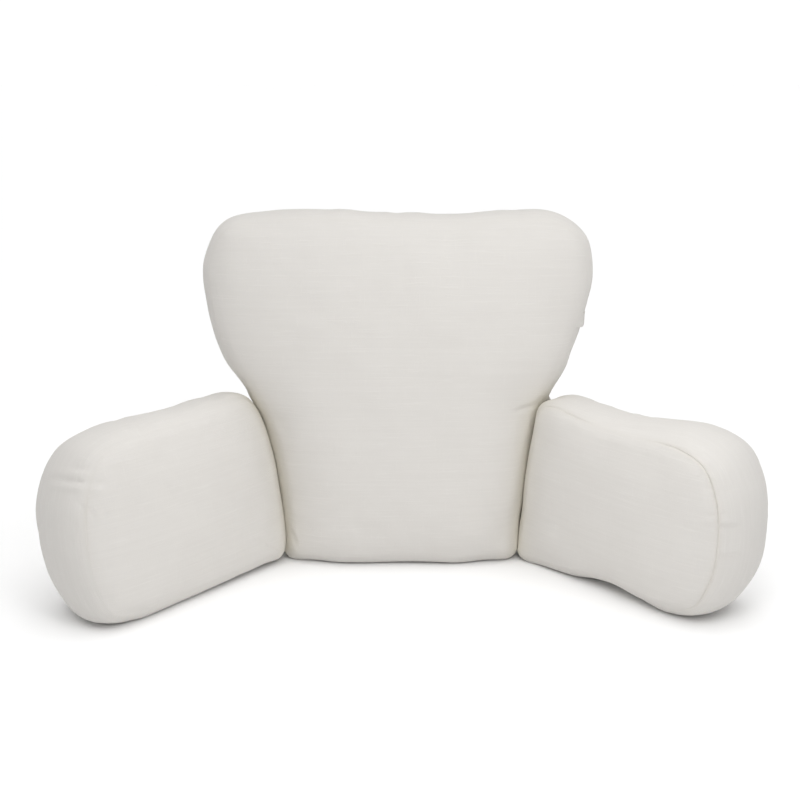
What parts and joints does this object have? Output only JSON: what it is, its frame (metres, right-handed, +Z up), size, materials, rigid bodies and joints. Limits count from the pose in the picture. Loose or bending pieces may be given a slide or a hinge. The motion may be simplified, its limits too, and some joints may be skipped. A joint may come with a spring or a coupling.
{
  "type": "stroller cushion",
  "caption": "Stroller support cushion: a waisted back cushion with a boxed arm cushion joined to each side, standing with its arms open around the sitter.",
  "frame": {"origin": "middle of the back cushion's flat base, on the floor", "axes": "+X to the right as seen from the sitter's side, +Y to the rear of the back cushion, +Z up; the arms open towards -Y"},
  "size_m": [0.6205, 0.2379, 0.3198],
  "materials": {
    "linen": "matt plain weave with faint slubs",
    "tape": "matt twill tape"
  },
  "bodies": {
    "root": {"back_cushion": "linen", "arm_right": "linen", "arm_left": "linen", "hinge_right": "linen", "hinge_left": "linen", "side_tab": "tape"}
  },
  "joints": []
}
